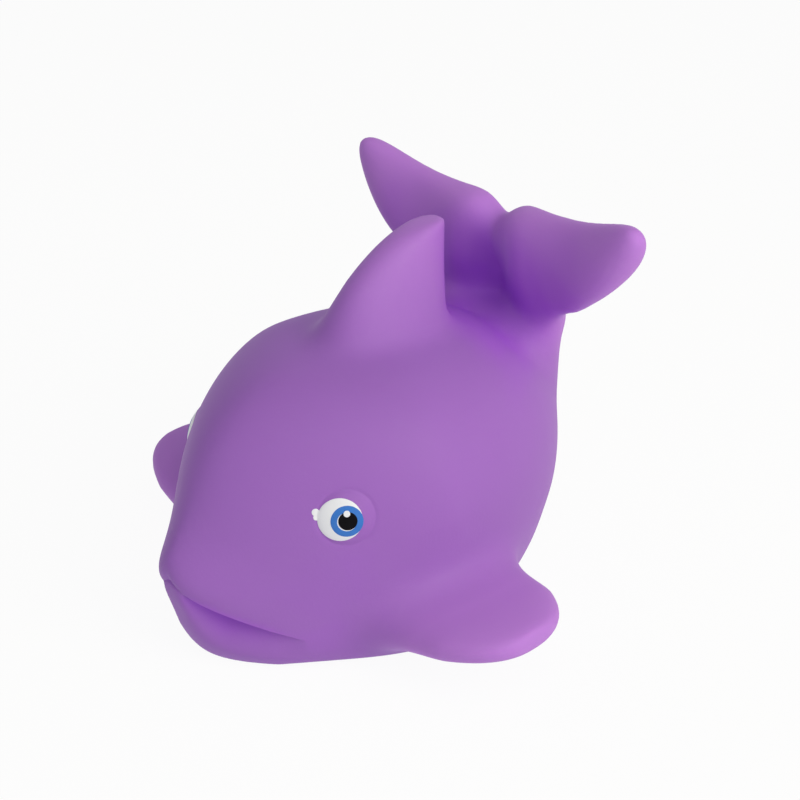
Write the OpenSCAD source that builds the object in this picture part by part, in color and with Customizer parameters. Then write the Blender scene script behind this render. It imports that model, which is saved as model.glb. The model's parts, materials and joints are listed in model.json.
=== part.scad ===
// Squeaky bath toy: a chubby dolphin, cast hollow in one piece of soft vinyl,
// with painted eyes and a press-in squeaker in its flat belly.
// Millimetres. The nose points along -Y, up is +Z, and X = 0 is the plane of symmetry.
// Lengths along the body are measured from its widest section, until the last step centres the part.

/* [Body] */
// Width of the body
body_w = 54.1; // [48:0.1:60]
// Height of the back above the belly
body_h = 45.7; // [43:0.1:49]
// Reach of the head in front of the widest section
head_l = 32; // [29:0.1:36]
// Reach of the rump behind the widest section
rump_l = 42; // [39:0.1:45]
// Height of the widest level
cheek_z = 15.8; // [12:0.1:20]
// How far the crown lies behind the widest section
crown_back = 2.2; // [0:0.1:5]
// How far the rump tucks in toward the belly
rump_tuck = 5.8; // [0:0.1:8]
// Depth of the saddle between the back and the tail
saddle = 2.1; // [0:0.1:5.8]
// Height over which the saddle fades into the rump
saddle_h = 5.2; // [4:0.1:6]
// Thickness of the vinyl wall
wall = 2.2; // [1.6:0.1:2.8]

/* [Snout and mouth] */
// How far the snout stands out of the face
snout_out = 4.3; // [1:0.1:6]
// Height of the snout's tip
snout_z = 16.7; // [15:0.1:21]
// Height over which the snout fades into the face
snout_h = 7.7; // [5:0.1:10]
// How closely the snout follows the lip down to the cheeks
snout_fall = 0.8; // [0:0.1:1]
// Height of the upper lip at the front
lip_z = 16.6; // [14:0.2:17]
// How far the corners of the mouth lie below its front
lip_drop = 9.8; // [6:0.2:11]
// Half angle that the mouth spans round the face
mouth_half = 42; // [36:1:50]
// Depth of the mouth under the upper lip
mouth_depth = 4.2; // [3:0.1:5]
// Share of that depth at the front
mouth_front = 0.4; // [0.3:0.05:0.7]
// How far the upper lip rolls in above the mouth
lip_roll = 1.6; // [1:0.1:2]
// Height over which the upper lip rolls in
lip_roll_h = 5; // [3:0.1:6]
// Height of the mouth under the upper lip at the front
mouth_h = 7.4; // [5:0.1:8]
// Share of that height that is lost at the corners
mouth_close = 0.8; // [0.4:0.05:0.9]

/* [Tail] */
// Half span of the flukes
fluke_span = 31.9; // [28:0.1:36]
// Height of the rear edges of the flukes at their tips
fluke_z = 67; // [62:0.1:70]
// Height of the front edges of the flukes at their tips
fluke_low_z = 56.2; // [54:0.1:60]
// Height of the notch between the flukes
notch_z = 57.3; // [54:0.1:60]
// Height of the rim where the flukes leave the tail
rim_z = 41.5; // [39:0.1:43]
// How far the rim lies in front of the end of the rump
rim_in = 4.4; // [3:0.1:6]
// Depth of the flukes' root inside the tail
fluke_root = 5; // [3:0.1:7]
// How far the front edges of the flukes curl forward
fluke_curl = 4.4; // [2:0.1:8]
// Thickness of the flukes
fluke_t = 6.8; // [5.5:0.1:9]
// Depth of the dish between the two lobes
fluke_dish = 5; // [3:0.1:6]
// Width over which the dish fades into the lobes
dish_w = 3.6; // [2.5:0.1:6]
// How far the lobes swell forward
lobe_out = 3.2; // [1:0.1:4]
// Reach of the thickest place of a lobe from the plane of symmetry
lobe_x = 6.5; // [5:0.1:9]
// Width over which the swelling fades
lobe_wide = 8; // [6:0.1:10]
// Height of the round lobes above the notch
lobe_h = 3; // [0:0.1:4]
// Reach over which that height fades toward the tips
lobe_w = 20; // [14:0.5:26]
// Width of the notch
notch_w = 3.3; // [2:0.1:6]
// Width of the tail under the rim
stock_w = 26.3; // [20:0.1:30]
// How much wider the tail is on each side at its root
stock_flare = 2.2; // [2:0.1:6]
// Thickness of the tail at the rim
stock_t = 11.5; // [9:0.1:13]
// How much the top of the tail rises toward the flukes
stock_tilt = 0.6; // [0.2:0.1:2]
// How much deeper the tail is at its root
stock_deep = 9; // [7:0.5:11]

/* [Dorsal fin] */
// Height of the fin's tip
fin_z = 60.4; // [54:0.1:66]
// Reach of the fin's rear edge behind the widest section
fin_rear = 22; // [19:0.1:25]
// Length of the fin at its root inside the back
fin_l = 30.3; // [24:0.1:36]
// Length of the fin at its tip
fin_tip_l = 2.9; // [2:0.1:6]
// Thickness of the fin at its root
fin_t = 12.4; // [9:0.1:14]
// Thickness of the fin at its tip
fin_tip_t = 4.1; // [3:0.1:6]
// Depth of the fin's root inside the back
fin_root = 8; // [6:0.5:10]
// How far the fin spreads on each side at its root
fin_flare = 7; // [2:0.5:9]

/* [Flippers] */
// Reach of the flippers from the plane of symmetry
flipper_x = 44.4; // [41:0.1:48]
// Length of a flipper along the flank
flipper_l = 27.6; // [24:0.1:32]
// Length of a flipper's round tip
flipper_tip_l = 5; // [2:0.1:8]
// How far the middle of a flipper lies behind the widest section
flipper_y = 0.3; // [-3:0.1:6]
// How far a flipper's tip sweeps back
flipper_lean = -1.3; // [-3:0.1:3]
// Height of a flipper's middle at its tip
flipper_z = 12; // [8:0.1:14]
// Thickness of a flipper at its root
flipper_t = 10; // [8:0.1:12]
// Thickness of a flipper toward its tip
flipper_tip_t = 3.7; // [2.5:0.1:5]
// How far a flipper spreads at its root
flipper_flare = 2.7; // [1:0.1:4]

/* [Eyes] */
// Height of the eyes
eye_z = 28.2; // [25:0.2:31]
// Angle of an eye away from the nose
eye_off = 51.8; // [46:1:62]
// Radius of an eyeball
eyeball_r = 11; // [10.5:0.5:13]
// How far an eyeball stands out of the face
eye_out = 0.95; // [0.9:0.05:1.3]
// Radius of the white paint
white_r = 3.4; // [3:0.1:3.8]
// How far the white paint sits toward the nose
white_shift = 1; // [0:0.1:1.2]
// Radius of the iris
iris_r = 2.35; // [2:0.05:2.4]
// Radius of the pupil
pupil_r = 1.45; // [1.1:0.05:1.8]
// Radius of the highlight
highlight_r = 0.5; // [0.3:0.05:0.6]
// Height of the highlight above the middle of the pupil
highlight_up = 1; // [0.6:0.05:1.1]
// Thickness of one coat of paint
coat_t = 0.12; // [0.08:0.01:0.2]

/* [Squeaker] */
// Reach of the squeaker's axis behind the widest section
squeaker_y = 3.5; // [0:0.5:8]
// Outer radius of the barrel
barrel_r = 7.8; // [6.5:0.1:9]
// Wall of the barrel
barrel_wall = 1; // [0.8:0.1:1.4]
// Height of the barrel above the flange
barrel_h = 9; // [8:0.5:12]
// How far the flange reaches beyond the barrel
flange_out = 1.8; // [1.2:0.1:2.4]
// Thickness of the flange
flange_t = 1.4; // [1:0.1:2]
// How far the flange is sunk into the belly
flange_sink = 0.4; // [0.3:0.1:0.8]
// Height of the seat that grips the barrel
seat_h = 6; // [5:0.5:7]
// Wall of the seat around the barrel
seat_wall = 3.2; // [2.4:0.1:4]
// How far the retaining bead stands out of the barrel
bead_out = 0.5; // [0.3:0.1:0.8]
// Radius of the air hole in the flange
air_r = 1.6; // [1:0.1:2.5]
// Thickness of the inner cap
cap_t = 1.6; // [1.2:0.1:2.4]
// Depth of the cap's spigot inside the barrel
spigot_h = 2; // [1.5:0.1:3]
// Radius of the reed holder
holder_r = 2.6; // [2.2:0.1:3]
// Wall of the reed channel
channel_wall = 0.7; // [0.5:0.1:0.9]
// Length of the reed channel below the cap
channel_l = 4.6; // [3.5:0.1:5]
// Width of the reed
reed_w = 3.4; // [2.6:0.1:3.8]
// Thickness of the reed
reed_t = 0.16; // [0.1:0.02:0.3]

/* [Hidden] */
// Clearance between pieces that are pushed into each other
fit_gap = 0.05;
// Clearance beside the moving reed
reed_gap = 0.28;
// Clearance under the paint
coat_gap = 0.05;
// Overlap of cutting shapes
cut = 1;
// Height of the room cut away below the belly
below = 5;

// Rows and columns of the cast shapes
columns = 48;
lower_rows = 8;
upper_rows = 16;
cavity_rows = 14;
fluke_rows = 18;
fluke_points = 20;
stock_rows = 6;
stock_points = 24;
fin_rows = 10;
fin_points = 18;
flipper_rows = 9;
flipper_points = 18;

// Sides of the round pieces, the paint films and the faceted shapes
round_sides = 64;
film_sides = 96;
facet_sides = 32;

// Roundness of the body toward the belly, the crown, the nose and the rump
base_round = 4.8;
base_sink = 3.29;
crown_round = 2.8;
face_point = 1.48;
nose_round = 0.22;
rump_point = 0.94;
// Roundness of the mouth's corners, of its lip line, of the jaw under it and of the snout
corner_round = 0.9;
lip_round = 1.2;
jaw_round = 1.5;
snout_round = 6;
// Height of the step under the upper lip
lip_step = 0.35;
// Height above the lip to which the wall stays thick behind the mouth
lip_room = 3;

// Reach at which the front edges of the flukes leave the rim
sweep_from = 10.2;
// Turn of the front edges and roundness of the flukes' edges, tips and section
curl_turn = 146;
edge_round = 1.36;
tip_rise = 2.43;
tip_round = 9.8;
tip_open = 0.02;
tip_thin = 0.14;
blade_round = 0.85;
// How quickly the flukes' root rises out of the tail, and roundness of the lobes
root_fade = 8;
lobe_round = 1.2;
// Reach of the notch behind the rim, and how far the rear edges come forward to the tips
notch_back = -0.6;
rear_lean = 2.1;
rear_curl = 2.4;
// Height above the belly at which the tail and the flippers start inside the body
stock_from = 14;
flipper_from_z = 6.3;
// Reach at which the flippers start inside the body
flipper_from = 14;
// How far the tail stands behind the rump and laps into the flukes
stock_back = 1.3;
stock_lap = 0.6;
// Lean, roundness and bluntness of the dorsal fin
fin_lean = 0.7;
fin_lean_round = 6;
fin_round = 1.38;
fin_blunt = 0.9;
// How much thinner a flipper gets along its reach, and bluntness of its section
flipper_thin = 0.25;
flipper_blunt = 0.85;
// Height at which the fin starts inside the back
fin_from = body_h - fin_root;
// Reach of the rim behind the widest section
rim_y = rump_l - rim_in;

function clamp01(t) = min(1, max(0, t));

// A value raised to a power with its sign kept
function raise(c, k) = sign(c) * pow(abs(c), k);

// Share of the full width that the body has at height z
function girth(z) = z < cheek_z
    ? pow(1 - pow((cheek_z - z) / (cheek_z + base_sink), base_round), 1 / base_round)
    : pow(max(0, 1 - pow((z - cheek_z) / (body_h - cheek_z), crown_round)), 1 / crown_round);

// Share of the full reach that the rump has at height z
function rump_girth(z) = girth(z) - rump_tuck / rump_l * clamp01((cheek_z - z) / cheek_z)
    - saddle / rump_l * exp(-pow((z - rim_z) / saddle_h, 2));

// Angle of a column away from the nose
function off_front(phi) = let (d = abs(phi - 270)) min(d, 360 - d);

// Way of a column from the front of the mouth to its corner
function mouth_way(phi) = min(1, off_front(phi) / mouth_half);

// Share of the mouth's depth at a column: full at the nose, none at the corners
function mouth_share(phi) = pow(1 - pow(mouth_way(phi), 2), corner_round);

// Height of the upper lip at a column
function lip_at(phi) = lip_z - lip_drop * pow(mouth_way(phi), lip_round);

// Depth of the rolled lip and of the mouth below it, at a column and a height
function recess(phi, z) = let (
        d = (lip_at(phi) - z) / (mouth_h * (1 - mouth_close * pow(mouth_way(phi), 2))),
        up = (z - lip_at(phi)) / lip_roll_h,
        deep = mouth_depth * (mouth_front + (1 - mouth_front) * sin(180 * mouth_way(phi))))
    mouth_share(phi) * (d > 0
        ? deep * (1 - pow(min(1, d), jaw_round))
        : lip_roll * pow(max(0, 1 - up), 2));

// Reach of the snout in front of the face
function snout(phi, z) = let (fall = snout_fall * (lip_z - lip_at(phi)))
    snout_out * exp(-pow((z + fall - snout_z) / snout_h, 2)) * pow(max(0, -sin(phi)), snout_round);

// Plan of the head: a wedge with a rounded nose and rounded cheeks, from the sine or cosine of a column
function wedge(c) = c * pow((c * c + nose_round) / (1 + nose_round), (face_point - 1) / 2);

// Point of the body's outside at a column and a height
function body_point(phi, z) = let (
        s = sin(phi),
        high = clamp01((z - cheek_z) / (body_h - cheek_z)),
        across = s < 0 ? girth(z) * wedge(cos(phi))
            : (girth(z) * (1 - s) + rump_girth(z) * s) * raise(cos(phi), rump_point),
        along = s < 0 ? (head_l * girth(z) + snout(phi, z)) * wedge(s)
            : rump_l * rump_girth(z) * pow(s, rump_point),
        x = body_w / 2 * across,
        k = 1 - recess(phi, z) / max(1, norm([x, along])))
    [x * k, along * k + crown_back * high, z];

// Point of the hollow inside the wall, which leaves room for the mouth
function cavity_point(phi, z) = let (
        p = body_point(phi, z),
        tilt = 90 * pow(clamp01((z - cheek_z) / (body_h - cheek_z)), 2),
        mouth = z < lip_z + lip_room ? mouth_depth * mouth_share(phi) : 0,
        k = 1 - (wall * cos(tilt) + mouth) / max(wall + mouth_depth, norm([p[0], p[1]])))
    [p[0] * k, p[1] * k, z - wall * sin(tilt)];

function column(c) = 360 * c / columns;
function below_lip(phi, i) = -cut / 2 + (lip_at(phi) - lip_step + cut / 2) * i / lower_rows;
function above_lip(phi, i) = lip_at(phi) + (body_h - lip_at(phi)) * sin(90 * i / upper_rows);
body_rings = concat(
    [for (i = [0 : lower_rows]) [for (c = [0 : columns - 1])
        body_point(column(c), below_lip(column(c), i))]],
    [for (i = [0 : upper_rows - 1]) [for (c = [0 : columns - 1])
        body_point(column(c), above_lip(column(c), i))]]);
cavity_rings = [for (i = [0 : cavity_rows - 1]) [for (c = [0 : columns - 1])
    cavity_point(column(c), wall + (body_h - wall) * sin(90 * i / cavity_rows))]];

// Front and rear edges of the flukes, by share of the half span
function sweep(u) = clamp01((u * fluke_span - sweep_from) / (fluke_span - sweep_from));
function front_y(u) = rim_y - fluke_curl * sin(curl_turn * sweep(u));
function front_z(u) = rim_z - fluke_root * pow(1 - sweep(u), root_fade)
    + (fluke_low_z - rim_z) * pow(sweep(u), edge_round);
function rear_y(u) = rim_y + notch_back - rear_lean * u - rear_curl * pow(u, 4);
function rear_z(u) = let (
        x = u * fluke_span,
        lobe = lobe_h * (1 - exp(-pow(x / notch_w, 2))) * exp(-pow(x / lobe_w, 2)))
    notch_z + lobe + (fluke_z - notch_z) * pow(u, tip_rise);

// How far a section of the flukes is still open: it closes in a round tip
function open_at(u) = sqrt(max(tip_open, 1 - pow(u, tip_round)));

// Point of the flukes at a width and at an angle round the section; the dish is deepest near the root
function fluke_point(x, a) = let (
        u = abs(x) / fluke_span,
        c = 0.5 - cos(a) / 2 * open_at(u),
        swell = fluke_t / 2 * pow(abs(sin(a)), blade_round) * (tip_thin + (1 - tip_thin) * open_at(u)),
        lobe = lobe_out * exp(-pow((abs(x) - lobe_x) / lobe_wide, 2)) * pow(abs(sin(a)), lobe_round),
        dish = fluke_dish * exp(-pow(x / dish_w, 2)) * pow(sin(a), 2) * 2 * (1 - c))
    [x,
     front_y(u) + (rear_y(u) - front_y(u)) * c + (a < 180 ? dish - swell - lobe : swell),
     front_z(u) + (rear_z(u) - front_z(u)) * c];
fluke_rings = [for (i = [-fluke_rows : fluke_rows])
    [for (j = [0 : fluke_points - 1])
        fluke_point(fluke_span * sin(90 * i / fluke_rows), 360 - 360 * j / fluke_points)]];

// Point of the tail between the rump and the flukes
function stock_point(t, a) = let (depth = stock_t + stock_deep * sqrt(1 - pow(t, 3)))
    [(stock_w / 2 + stock_flare * (1 - t)) * cos(a),
     rump_l + stock_back - depth / 2 * (1 - sin(a)),
     stock_from + (rim_z + stock_lap + stock_tilt * sin(a) - stock_from) * t];
stock_rings = [for (i = [0 : stock_rows])
    [for (j = [0 : stock_points - 1]) stock_point(sin(90 * i / stock_rows), 360 * j / stock_points)]];

// Point of the dorsal fin at a share of its height and at an angle round the section
function fin_point(t, a) = let (
        c = (1 - cos(a)) / 2,
        rear = fin_rear - fin_lean * pow(t, fin_lean_round),
        front = fin_rear - fin_tip_l - (fin_l - fin_tip_l) * (1 - pow(t, fin_round)))
    [((fin_t + (fin_tip_t - fin_t) * t) / 2 + fin_flare * pow(1 - t, 4)) * raise(sin(a), fin_blunt),
     front + (rear - front) * c,
     fin_from + (fin_z - fin_from) * sin(90 * t)];
fin_rings = [for (i = [0 : fin_rows])
    [for (j = [0 : fin_points - 1]) fin_point(i / fin_rows, 360 * j / fin_points)]];

// Point of a flipper at a share of its reach and at an angle round the section
function flipper_point(t, a) = let (
        open = sqrt(1 - pow(t, 3)),
        flare = flipper_flare * pow(1 - t, 2),
        half_l = (flipper_tip_l + (flipper_l - flipper_tip_l) * open) / 2 + flare,
        half_t = (flipper_tip_t + (flipper_t - flipper_tip_t) * open) / 2 * (1 - flipper_thin * t) + flare)
    [flipper_from + (flipper_x - flipper_from) * t,
     flipper_y + flipper_lean * t * t + half_l * raise(cos(a), flipper_blunt),
     flipper_from_z + (flipper_z - flipper_from_z) * t + half_t * raise(sin(a), flipper_blunt)];
flipper_rings = [for (i = [0 : flipper_rows])
    [for (j = [0 : flipper_points - 1])
        flipper_point(sin(90 * i / flipper_rows), 360 * j / flipper_points)]];

// Middle of the part's length, taken from the foremost and rearmost points
all_y = [for (rings = [body_rings, fluke_rings, stock_rings]) for (r = rings) for (p = r) p[1]];
mid_y = (min(all_y) + max(all_y)) / 2;

// Place and direction of the left eye on the face
eye_phi = 270 + eye_off;
eye_at = body_point(eye_phi, eye_z);
eye_normal = cross(
    body_point(eye_phi + 1, eye_z) - body_point(eye_phi - 1, eye_z),
    body_point(eye_phi, eye_z + 0.5) - body_point(eye_phi, eye_z - 0.5));
eye_turn = atan2(eye_normal[1], eye_normal[0]);
eye_tip = acos(eye_normal[2] / norm(eye_normal));
eye_centre = eye_at - (eyeball_r - eye_out) * eye_normal / norm(eye_normal);

// Levels of the squeaker
flange_top = flange_sink + flange_t;
barrel_top = flange_top + barrel_h;
barrel_in = barrel_r - barrel_wall;
spigot_r = barrel_in - fit_gap;
cap_bottom = barrel_top - spigot_h;
cap_top = barrel_top + cap_t;
bead_z = seat_h + fit_gap;
reed_half = reed_t / 2 + reed_gap;

// A closed skin over a list of rings, each with the same number of points
module skin(rings) {
    n = len(rings[0]);
    m = len(rings);
    points = [for (r = rings) for (p = r) p];
    middles = [for (r = [rings[0], rings[m - 1]])
        [for (k = [0 : 2]) [for (p = r) p[k]] * [for (p = r) 1] / n]];
    sides = [for (i = [0 : m - 2]) for (j = [0 : n - 1])
        let (a = i * n + j, b = i * n + (j + 1) % n)
        each [[a, a + n, b], [b, a + n, b + n]]];
    caps = [for (j = [0 : n - 1])
        let (k = (j + 1) % n, last = (m - 1) * n)
        each [[m * n, j, k], [m * n + 1, last + k, last + j]]];
    polyhedron(concat(points, middles), concat(sides, caps), convexity = 8);
}

// Children in the local frame of an eye: Z out of the face, -X up, -Y toward the nose
module at_eye() {
    translate(eye_centre) rotate([0, eye_tip, eye_turn]) children();
}

// The outside of the casting
module cast_form() {
    skin(body_rings);
    skin(fluke_rings);
    skin(stock_rings);
    skin(fin_rings);
    for (side = [0, 1]) mirror([side, 0, 0]) {
        skin(flipper_rings);
        at_eye() sphere(eyeball_r, $fn = facet_sides);
    }
}

// The one-piece vinyl casting, with the seat for the squeaker in its belly
module body_shell() {
    color("#9868b4") translate([0, -mid_y, 0]) difference() {
        // resize to nothing keeps the size and joins the cast shapes into one mesh
        resize([0, 0, 0]) difference() {
            union() {
                difference() {
                    cast_form();
                    skin(cavity_rings);
                }
                translate([0, squeaker_y, -cut / 2])
                    cylinder(seat_h + cut / 2, r = barrel_r + flange_out + seat_wall, $fn = round_sides);
            }
            translate([0, squeaker_y, -cut])
                cylinder(seat_h + 2 * cut, r = barrel_r - barrel_wall, $fn = facet_sides);
        }
        translate([-flipper_x, -2 * rump_l, -below]) cube([2 * flipper_x, 4 * rump_l, below]);
        translate([0, squeaker_y, -cut]) {
            cylinder(seat_h + 2 * cut, r = barrel_r + fit_gap, $fn = round_sides);
            cylinder(flange_top + cut, r = barrel_r + flange_out + fit_gap, $fn = round_sides);
        }
    }
}

// One coat of paint on the left eye: a round film at a place on the eyeball
module coat(layer, r, up, forward) {
    inner = eyeball_r + coat_gap + layer * coat_t;
    translate([0, -mid_y, 0]) at_eye() intersection() {
        difference() {
            sphere(inner + coat_t, $fn = film_sides);
            sphere(inner, $fn = film_sides);
        }
        translate([-up, -forward, 0]) cylinder(2 * eyeball_r, r = r, $fn = round_sides);
    }
}

module left_eye_white() {
    color("#f4f2f0") coat(0, white_r, 0, white_shift);
}

module left_iris() {
    color("#2f63b8") coat(1, iris_r, 0, 0);
}

module left_pupil() {
    color("#0c0c10") coat(2, pupil_r, 0, 0);
}

module left_highlight() {
    color("#ffffff") coat(3, highlight_r, highlight_up, 0);
}

module right_eye_white() {
    mirror([1, 0, 0]) left_eye_white();
}

module right_iris() {
    mirror([1, 0, 0]) left_iris();
}

module right_pupil() {
    mirror([1, 0, 0]) left_pupil();
}

module right_highlight() {
    mirror([1, 0, 0]) left_highlight();
}

// Children on the axis of the squeaker
module at_squeaker() {
    translate([0, squeaker_y - mid_y, 0]) children();
}

// Barrel and flange of the squeaker, with the bead that holds it behind the seat
module squeaker_cup() {
    color("#e8e6df") at_squeaker() difference() {
        rotate_extrude($fn = round_sides) polygon([
            [0, flange_sink],
            [barrel_r + flange_out, flange_sink],
            [barrel_r + flange_out, flange_top],
            [barrel_r, flange_top],
            [barrel_r, bead_z],
            [barrel_r + bead_out, bead_z + bead_out],
            [barrel_r, bead_z + 3 * bead_out],
            [barrel_r, barrel_top],
            [0, barrel_top]]);
        translate([0, 0, flange_top]) cylinder(barrel_h + cut, r = barrel_in, $fn = round_sides);
        cylinder(flange_top + cut, r = air_r, $fn = round_sides);
    }
}

// Inner cap that closes the barrel and holds the reed
module squeaker_cap() {
    color("#dcd9d0") at_squeaker() difference() {
        union() {
            translate([0, 0, barrel_top]) cylinder(cap_t, r = barrel_r, $fn = round_sides);
            translate([0, 0, cap_bottom]) cylinder(spigot_h + cap_t / 2, r = spigot_r, $fn = round_sides);
        }
        translate([0, 0, cap_bottom - cut])
            cylinder(cap_top - cap_bottom + 2 * cut, r = holder_r + fit_gap, $fn = round_sides);
    }
}

// Half-round rod on one side of the reed
module half_rod(side, bottom, top) {
    intersection() {
        translate([0, 0, bottom]) cylinder(top - bottom, r = holder_r, $fn = round_sides);
        translate([side > 0 ? reed_half : -reed_half - 2 * holder_r, -holder_r - cut, bottom - cut])
            cube([2 * holder_r, 2 * (holder_r + cut), top - bottom + 2 * cut]);
    }
}

// Trough under the reed: the air passes between its open side and the tongue
module reed_channel() {
    color("#c9c4b4") at_squeaker() difference() {
        half_rod(-1, cap_bottom - channel_l, cap_top);
        translate([0, 0, cap_bottom - channel_l + channel_wall])
            cylinder(channel_l + cap_top, r = holder_r - channel_wall, $fn = round_sides);
    }
}

// Thin tongue that beats against the channel
module reed() {
    color("#f2e3b0") at_squeaker()
        translate([-reed_t / 2, -reed_w / 2, cap_bottom - channel_l])
        cube([reed_t, reed_w, channel_l + cap_top - cap_bottom]);
}

// Plug that holds the reed in the cap
module reed_wedge() {
    color("#c9c4b4") at_squeaker() half_rod(1, cap_bottom, cap_top);
}

body_shell();
left_eye_white();
left_iris();
left_pupil();
left_highlight();
right_eye_white();
right_iris();
right_pupil();
right_highlight();
squeaker_cup();
squeaker_cap();
reed_channel();
reed();
reed_wedge();
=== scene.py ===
# %% [markdown]
# # A squeaky dolphin for the bath
# The real toy is one hollow casting of soft violet vinyl. Two eyes are printed on it, and a small
# white squeaker is pressed into the flat belly. The CAD model gives every piece its place, so the
# lesson loads it first.

# %% Load the frame
import bpy
import bmesh
import json
from math import acos, asin, atan2, cos, degrees, exp, hypot, pi, radians, sin, sqrt
from mathutils import Matrix, Vector
from mathutils.bvhtree import BVHTree

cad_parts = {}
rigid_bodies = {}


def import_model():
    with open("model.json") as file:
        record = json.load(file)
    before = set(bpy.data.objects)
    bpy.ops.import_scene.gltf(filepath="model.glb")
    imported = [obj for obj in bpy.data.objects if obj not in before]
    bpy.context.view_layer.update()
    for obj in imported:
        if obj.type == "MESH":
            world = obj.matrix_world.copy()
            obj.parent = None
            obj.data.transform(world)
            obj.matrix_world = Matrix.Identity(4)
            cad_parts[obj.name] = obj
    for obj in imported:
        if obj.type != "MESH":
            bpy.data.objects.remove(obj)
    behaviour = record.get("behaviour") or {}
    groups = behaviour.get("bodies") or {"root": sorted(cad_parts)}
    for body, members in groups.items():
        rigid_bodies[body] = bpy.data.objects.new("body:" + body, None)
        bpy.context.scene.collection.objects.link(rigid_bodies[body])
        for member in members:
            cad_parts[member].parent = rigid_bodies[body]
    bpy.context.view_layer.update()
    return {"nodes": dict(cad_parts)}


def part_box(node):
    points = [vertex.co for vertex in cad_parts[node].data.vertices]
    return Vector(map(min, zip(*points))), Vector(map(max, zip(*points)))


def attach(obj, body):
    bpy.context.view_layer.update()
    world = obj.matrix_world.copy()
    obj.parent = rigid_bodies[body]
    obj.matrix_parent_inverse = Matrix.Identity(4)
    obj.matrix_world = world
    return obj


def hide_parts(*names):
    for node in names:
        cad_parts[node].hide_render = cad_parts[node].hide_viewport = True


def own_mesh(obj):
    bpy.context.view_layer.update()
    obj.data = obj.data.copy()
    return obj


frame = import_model()
scene = bpy.context.scene
scene.view_settings.view_transform = "Standard"

# %% [markdown]
# The shapes are drawn in millimetres, measured from the widest section of the body, as a pattern
# maker would do. The CAD model is centred on its own length instead, so one number shifts the two
# onto each other. The squeaker tells how large it is, because its axis is known in both.

# %% From the maker's millimetres to the frame
squeaker_y = 3.5
cup_low, cup_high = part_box("squeaker_cup")
shift_y = 1000 * (cup_low[1] + cup_high[1]) / 2 - squeaker_y


def in_frame(x, y, z):
    """A point in millimetres from the widest section, as a place in the frame in metres."""
    return Vector((x, y + shift_y, z)) / 1000


print("the widest section lies", round(-shift_y, 3), "mm in front of the frame's middle")

# %% [markdown]
# The camera comes before the shapes, so that each of them can be looked at from the photograph's
# own side. A long lens held close to the toy gives the same perspective: the near flipper looks
# large and the far one small. Aiming a track quaternion is simpler than guessing angles.

# %% Camera
photo_turn = radians(47.2)
photo_rise = radians(28.55)
camera_away, camera_lens = 0.265, 71.5
looked_at = in_frame(0, 13, 30.3)
to_camera = Vector((sin(photo_turn) * cos(photo_rise), -cos(photo_turn) * cos(photo_rise), sin(photo_rise)))
camera = bpy.data.objects.new("camera", bpy.data.cameras.new("camera"))
scene.collection.objects.link(camera)
camera.data.lens = camera_lens
camera.data.clip_start = 0.01
camera.location = looked_at + camera_away * to_camera
camera.rotation_euler = (-to_camera).to_track_quat("-Z", "Y").to_euler()
scene.camera = camera
print("camera at", [round(v, 4) for v in camera.location])

# %% [markdown]
# The toy was photographed on white with almost no shadow. A floor that is nearly all self-lit for the
# camera stays white and still shows a faint shadow. For the rays that only light the toy it glows less and
# bounces more, as a white table does. The Light Path node tells the two kinds of ray apart.

# %% Floor
glow_seen, glow_felt, table_white = 0.94, 0.47, 0.85
floor_half, floor_gap = 4, 0.0002


def seen_directly(nodes, links):
    """A mask that is 1 for rays from the camera, from a reflection and from a transmission."""
    path = nodes.new("ShaderNodeLightPath")
    mask = path.outputs["Is Camera Ray"]
    for kind in ("Is Glossy Ray", "Is Transmission Ray"):
        either = nodes.new("ShaderNodeMath")
        either.operation = "MAXIMUM"
        links.new(mask, either.inputs[0])
        links.new(path.outputs[kind], either.inputs[1])
        mask = either.outputs[0]
    return mask


def white_floor_material():
    """Matt white mixed with a white glow, more of it where the floor is seen directly."""
    material = bpy.data.materials.new("white_floor")
    material.use_nodes = True
    nodes, links = material.node_tree.nodes, material.node_tree.links
    nodes.clear()
    out = nodes.new("ShaderNodeOutputMaterial")
    mix = nodes.new("ShaderNodeMixShader")
    matt = nodes.new("ShaderNodeBsdfDiffuse")
    matt.inputs["Color"].default_value = (table_white, table_white, table_white, 1)
    glow = nodes.new("ShaderNodeEmission")
    share = nodes.new("ShaderNodeMapRange")
    share.inputs["To Min"].default_value = glow_felt
    share.inputs["To Max"].default_value = glow_seen
    links.new(seen_directly(nodes, links), share.inputs["Value"])
    links.new(share.outputs[0], mix.inputs[0])
    links.new(matt.outputs[0], mix.inputs[1])
    links.new(glow.outputs[0], mix.inputs[2])
    links.new(mix.outputs[0], out.inputs[0])
    return material


floor_mesh = bpy.data.meshes.new("floor")
floor_bm = bmesh.new()
bmesh.ops.create_grid(floor_bm, x_segments=1, y_segments=1, size=floor_half)
bmesh.ops.translate(floor_bm, vec=(0, 0, -floor_gap), verts=floor_bm.verts)
floor_bm.to_mesh(floor_mesh)
floor_bm.free()
floor = bpy.data.objects.new("floor", floor_mesh)
floor.data.materials.append(white_floor_material())
scene.collection.objects.link(floor)
print("floor:", [round(v, 2) for v in floor.dimensions], "m")

# %% [markdown]
# The white room around the toy works in the same way: full white where the camera or a reflection sees it,
# and only a third of that as light on the toy, because most of the light comes from the lamps.

# %% World
world_seen, world_felt = 1.0, 0.32
world = bpy.data.worlds.new("studio")
scene.world = world
world.use_nodes = True
world_nodes, world_links = world.node_tree.nodes, world.node_tree.links
back = world_nodes["Background"]
back.inputs["Color"].default_value = (1, 1, 1, 1)
strength = world_nodes.new("ShaderNodeMapRange")
strength.inputs["To Min"].default_value = world_felt
strength.inputs["To Max"].default_value = world_seen
world_links.new(seen_directly(world_nodes, world_links), strength.inputs["Value"])
world_links.new(strength.outputs[0], back.inputs["Strength"])
print("the room gives", world_felt, "of the white that is seen")

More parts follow.
